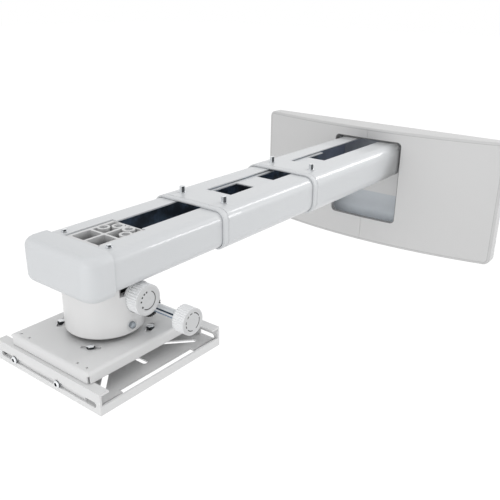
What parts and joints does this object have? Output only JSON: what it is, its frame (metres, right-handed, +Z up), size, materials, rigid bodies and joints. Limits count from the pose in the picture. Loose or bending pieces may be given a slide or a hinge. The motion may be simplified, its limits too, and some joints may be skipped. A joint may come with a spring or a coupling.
{
  "type": "telescoping projector wall mount",
  "caption": "Telescoping square-tube arm with a bowed wall cover, a ribbed head over a round column with knobs for pitch and roll, and a turning, sliding projector frame.",
  "frame": {"origin": "on the wall plane at the centre of the four wall bolt holes", "axes": "+Y into the wall, so the arm runs out along -Y; +X to the side of the knobs; +Z up"},
  "size_m": [0.512, 0.8155, 0.231],
  "materials": {
    "powder_white": "satin powder coat",
    "moulded_white": "fine texture",
    "plated_steel": "zinc plated",
    "polished_rod": "polished",
    "cast_alloy": "painted casting",
    "dark_steel": "phosphated",
    "zinc_plate": "zinc plated sheet",
    "brass_nut": "turned",
    "slide_pad": "moulded"
  },
  "bodies": {
    "wall": {"wall_plate": "zinc_plate", "cover_left": "moulded_white", "cover_right": "moulded_white"},
    "lift": {"arm_flange": "powder_white", "flange_bolts": "plated_steel", "rear_tube": "powder_white", "rear_bezel": "moulded_white", "rear_clamp_bolts": "plated_steel"},
    "mid_arm": {"mid_tube": "powder_white", "mid_bezel": "moulded_white", "mid_clamp_bolts": "plated_steel", "mid_glides": "slide_pad"},
    "front_arm": {"front_tube": "powder_white", "end_cap": "moulded_white", "rib_core": "cast_alloy", "front_glides": "slide_pad", "head_bolts": "plated_steel", "core_screws": "plated_steel", "column": "powder_white", "pitch_pins": "plated_steel"},
    "tilt_knob_body": {"tilt_knob": "moulded_white", "tilt_pinion": "dark_steel"},
    "pitch_body": {"pitch_cradle": "dark_steel"},
    "roll_knob_body": {"roll_knob": "moulded_white", "roll_screw": "polished_rod", "lock_ring": "dark_steel"},
    "nut_body": {"roll_nut": "brass_nut"},
    "roll_body": {"roll_yoke": "dark_steel", "roll_shaft": "plated_steel", "roll_lever": "dark_steel", "foot_screws": "plated_steel", "tray": "powder_white"},
    "yaw_body": {"turntable": "powder_white", "yaw_bolts": "plated_steel", "front_rail": "powder_white", "rear_rail": "powder_white", "side_rail_left": "powder_white", "side_rail_right": "powder_white", "rail_screws": "plated_steel"},
    "slider": {"projector_plate": "powder_white", "slide_screws": "plated_steel"}
  },
  "joints": [
    {"name": "lift_slide", "type": "slide", "parent": "wall", "child": "lift", "axis": [0, 0, 1], "range_m": [-0.085, 0]},
    {"name": "mid_slide", "type": "slide", "parent": "lift", "child": "mid_arm", "axis": [0, 1, 0], "range_m": [-0.08, 0.16]},
    {"name": "front_slide", "type": "slide", "parent": "mid_arm", "child": "front_arm", "axis": [0, 1, 0], "range_m": [-0.12, 0.1]},
    {"name": "pitch", "type": "hinge", "parent": "front_arm", "child": "pitch_body", "pos_m": [0, -0.719, -0.019], "axis": [1, 0, 0], "range_deg": [-4, 4]},
    {"name": "tilt_knob_turn", "type": "hinge", "parent": "front_arm", "child": "tilt_knob_body", "pos_m": [0.054, -0.706, 0.0135], "axis": [1, 0, 0], "range_deg": [-24.5, 24.5]},
    {"name": "roll", "type": "hinge", "parent": "pitch_body", "child": "roll_body", "pos_m": [0, -0.719, 0.006], "axis": [0, 1, 0], "range_deg": [-3, 3]},
    {"name": "roll_knob_turn", "type": "hinge", "parent": "pitch_body", "child": "roll_knob_body", "pos_m": [0, -0.674, -0.0146], "axis": [1, 0, 0], "range_deg": [-98, 98]},
    {"name": "nut_slide", "type": "slide", "parent": "pitch_body", "child": "nut_body", "axis": [1, 0, 0], "range_m": [-0.0011, 0.0011]},
    {"name": "yaw", "type": "hinge", "parent": "roll_body", "child": "yaw_body", "pos_m": [0, -0.719, -0.045], "axis": [0, 0, 1], "range_deg": [-8, 8]},
    {"name": "plate_slide", "type": "slide", "parent": "yaw_body", "child": "slider", "axis": [1, 0, 0], "range_m": [-0.006, 0.006]}
  ],
  "couplings": [
    {"joint": "tilt_knob_turn", "follows": "pitch", "ratio": -6},
    {"joint": "nut_slide", "follows": "roll", "m_per_rad": -0.0206},
    {"joint": "roll_knob_turn", "follows": "roll", "ratio": 32.358}
  ]
}
